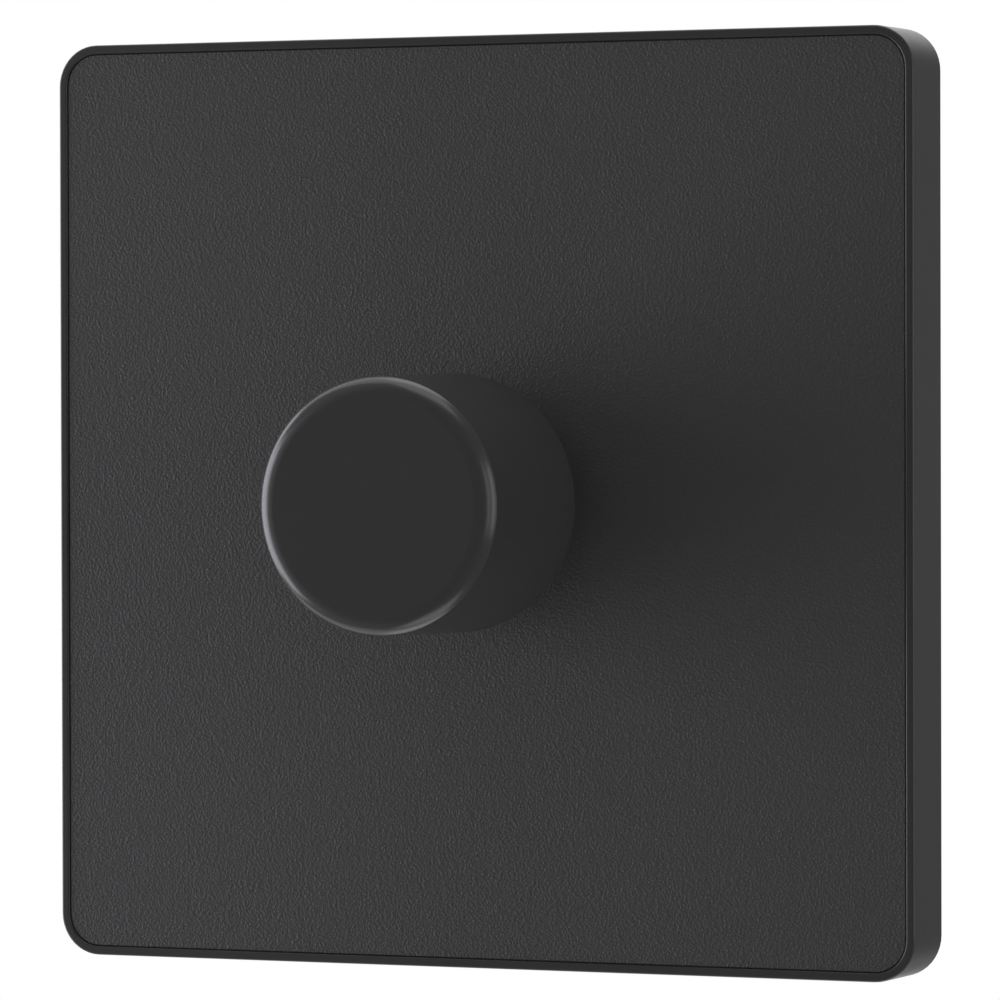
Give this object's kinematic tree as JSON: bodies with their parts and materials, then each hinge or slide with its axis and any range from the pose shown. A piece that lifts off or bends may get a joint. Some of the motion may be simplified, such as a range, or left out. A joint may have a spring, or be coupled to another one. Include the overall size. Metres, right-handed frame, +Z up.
{
  "type": "rotary dimmer switch",
  "caption": "Square wall dimmer with a turn-and-push knob, textured insert in a thin border, and its module, terminals and fixing screws behind.",
  "frame": {"origin": "where the knob's axis meets the wall plane, at the middle of the rear rim", "axes": "+Z up, +Y into the wall along the knob's axis, +X to the right as seen from the room"},
  "size_m": [0.093, 0.0564, 0.093],
  "materials": {
    "frame_black": "smooth satin moulding",
    "insert_black": "fine stippled matt",
    "knob_black": "smooth satin moulding",
    "zinc_steel": "bright zinc plate",
    "bush_zinc": "nickel plate, turned",
    "spring_steel": "bright spring wire",
    "tinned": "tinned",
    "heat_sink": "mill finish",
    "case_grey": "spark-eroded matt moulding",
    "terminal_grey": "satin moulding",
    "clamp_brass": "machined",
    "contact_copper": "rolled strip",
    "enamelled_wire": "enamelled",
    "board_green": "solder resist",
    "acetal_white": "satin moulding",
    "housing_cream": "satin moulding",
    "track_brown": "phenolic wafer",
    "pad_grey": "silicone pad",
    "package_black": "moulded epoxy",
    "sleeve_black": "shrunk sleeve",
    "core_yellow": "coated powder core",
    "film_blue": "potted box",
    "film_red": "dipped",
    "resistor_tan": "lacquered",
    "glass_clear": "clear tube"
  },
  "bodies": {
    "root": {"surround_frame": "frame_black", "front_plate": "insert_black", "mounting_yoke": "zinc_steel", "fixing_screws": "zinc_steel", "bush_nut": "bush_zinc", "lock_washer": "zinc_steel", "heat_sink_plate": "heat_sink", "module_case": "case_grey", "case_screws": "zinc_steel", "control_bush": "bush_zinc", "control_housing": "housing_cream", "resistance_track": "track_brown", "track_tags": "tinned", "switch_housing": "housing_cream", "return_spring": "spring_steel", "fixed_contacts": "contact_copper", "circuit_board": "board_green", "triac_body": "package_black", "triac_leadframe": "tinned", "triac_screw": "zinc_steel", "insulator_pad": "pad_grey", "choke_core": "core_yellow", "choke_winding": "enamelled_wire", "suppression_capacitor": "film_blue", "timing_capacitor": "film_red", "supply_capacitor": "sleeve_black", "control_chip": "package_black", "resistors": "resistor_tan", "fuse_tube": "glass_clear", "fuse_caps": "tinned", "fuse_clips": "contact_copper", "terminal_block": "terminal_grey", "terminal_cages": "clamp_brass", "terminal_screws": "zinc_steel", "earth_terminal": "clamp_brass", "earth_screw": "zinc_steel"},
    "rotor": {"wiper_carrier": "acetal_white", "wiper_contact": "contact_copper"},
    "shaft": {"spindle": "acetal_white", "spindle_clip": "spring_steel", "control_knob": "knob_black", "knob_hub_ring": "spring_steel"},
    "plunger": {"switch_plunger": "acetal_white", "moving_contact": "contact_copper"}
  },
  "joints": [
    {"name": "dial_turn", "type": "hinge", "parent": "root", "child": "rotor", "pos_m": [0, 0, 0], "axis": [0, 1, 0], "range_deg": [-140, 140]},
    {"name": "knob_push", "type": "slide", "parent": "rotor", "child": "shaft", "axis": [0, 1, 0], "range_m": [0, 0.0016], "stiffness_N_per_m": 1500, "springref_m": -0.001},
    {"name": "plunger_slide", "type": "slide", "parent": "root", "child": "plunger", "axis": [0, 1, 0], "range_m": [0, 0.0016], "deforming": ["return_spring"]}
  ],
  "couplings": [
    {"joint": "plunger_slide", "follows": "knob_push", "ratio": 1}
  ]
}
